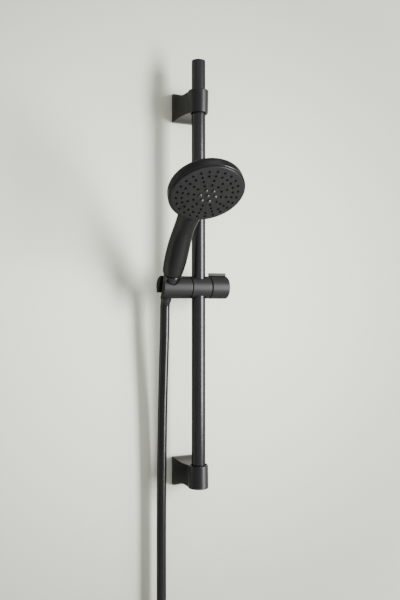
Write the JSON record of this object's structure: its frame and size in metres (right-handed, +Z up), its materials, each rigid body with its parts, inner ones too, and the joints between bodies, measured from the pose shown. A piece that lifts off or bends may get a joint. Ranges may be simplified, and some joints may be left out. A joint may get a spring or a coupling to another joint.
{
  "type": "handheld shower head",
  "caption": "Handheld shower head on a wall slide rail with tilting holder, lock knob, rotating spray face, flexible hose and wall brackets.",
  "frame": {"origin": "centre of the upper bracket's wall face, on the wall plane", "axes": "+X right along the wall, +Y into the wall, +Z up along the rail"},
  "size_m": [0.2016, 0.2245, 1.0381],
  "materials": {
    "matt_metal": "matt black powder coat",
    "matt_plastic": "matt black moulding, fine grain",
    "face_grey": "dark grey satin moulding",
    "nozzle_rubber": "soft black silicone",
    "jet_gloss": "gloss black moulding",
    "hose_black": "smooth black hose jacket",
    "zinc_steel": "zinc plated steel",
    "white_plastic": "natural white moulding"
  },
  "bodies": {
    "rail_frame": {"rail_tube": "matt_metal", "rail_top_plug": "matt_plastic", "rail_bottom_plug": "matt_plastic", "upper_bracket": "matt_metal", "lower_bracket": "matt_metal", "upper_wall_plate": "zinc_steel", "lower_wall_plate": "zinc_steel", "upper_wall_screw_a": "zinc_steel", "upper_wall_screw_b": "zinc_steel", "lower_wall_screw_a": "zinc_steel", "lower_wall_screw_b": "zinc_steel", "upper_grub_screw": "zinc_steel", "lower_grub_screw": "zinc_steel", "upper_ring_bush": "matt_plastic", "lower_ring_bush": "matt_plastic"},
    "carriage": {"rail_sleeve": "white_plastic"},
    "slider": {"slider_body": "matt_plastic"},
    "holder": {"handset_holder": "matt_plastic", "pivot_screw": "zinc_steel", "friction_washer": "nozzle_rubber"},
    "knob": {"lock_knob": "matt_plastic", "clamp_screw": "zinc_steel", "knob_washer": "white_plastic"},
    "brake": {"brake_shoe": "white_plastic"},
    "handset": {"handset_shell": "matt_plastic", "inlet_nipple": "matt_plastic", "flow_restrictor": "nozzle_rubber", "hose_washer": "nozzle_rubber", "water_tube": "white_plastic", "hose_end_fitting": "matt_metal", "diverter_housing": "white_plastic", "detent_ball": "zinc_steel", "detent_spring": "zinc_steel", "housing_gasket": "nozzle_rubber"},
    "spray_head": {"spray_face": "face_grey", "nozzle_mat": "nozzle_rubber", "centre_jets": "jet_gloss", "spray_chamber": "white_plastic"},
    "hose_nut": {"cone_nut": "matt_metal"},
    "hose": {"hose_run": "hose_black", "hose_coil": "hose_black", "coil_tie_1": "nozzle_rubber", "coil_tie_2": "nozzle_rubber", "hose_tail": "hose_black", "end_ferrule": "matt_metal"},
    "inlet_nut": {"end_nut": "matt_metal", "end_washer": "nozzle_rubber"}
  },
  "joints": [
    {"name": "slider_travel", "type": "slide", "parent": "rail_frame", "child": "carriage", "axis": [0, 0, 1], "range_m": [-0.24, 0.232]},
    {"name": "slider_swivel", "type": "hinge", "parent": "carriage", "child": "slider", "pos_m": [0, -0.05, -0.2709], "axis": [0, 0, 1], "range_deg": [-5, 30]},
    {"name": "holder_tilt", "type": "hinge", "parent": "slider", "child": "holder", "pos_m": [-0.0156, -0.05, -0.2709], "axis": [1, 0, 0], "range_deg": [-30, 25]},
    {"name": "handset_lift", "type": "slide", "parent": "holder", "child": "handset", "axis": [0, -0.5373, 0.8434], "range_m": [0, 0.12]},
    {"name": "face_turn", "type": "hinge", "parent": "handset", "child": "spray_head", "pos_m": [-0.04911, -0.18484, -0.15406], "axis": [-0.0476, -0.5889, -0.8068], "range_deg": [0, 120]},
    {"name": "hose_nut_turn", "type": "hinge", "parent": "handset", "child": "hose_nut", "pos_m": [-0.0465, -0.05, -0.2709], "axis": [0, -0.5373, 0.8434], "continuous": true},
    {"name": "hose_hang", "type": "hinge", "parent": "handset", "child": "hose", "pos_m": [-0.0465, -0.03764, -0.2903], "axis": [1, 0, 0], "range_deg": [-25, 30], "deforming": ["hose_run"]},
    {"name": "inlet_nut_turn", "type": "hinge", "parent": "hose", "child": "inlet_nut", "pos_m": [-0.14164, -0.0506, -0.93394], "axis": [-0.342, 0, -0.9397], "continuous": true},
    {"name": "knob_turn", "type": "hinge", "parent": "slider", "child": "knob", "pos_m": [0.03, -0.05, -0.2709], "axis": [1, 0, 0], "range_deg": [0, 90]},
    {"name": "brake_release", "type": "slide", "parent": "slider", "child": "brake", "axis": [1, 0, 0], "range_m": [0, 0.001]}
  ],
  "couplings": [
    {"joint": "hose_hang", "follows": "holder_tilt", "ratio": -1},
    {"joint": "brake_release", "follows": "knob_turn", "m_per_rad": 0.000636}
  ]
}
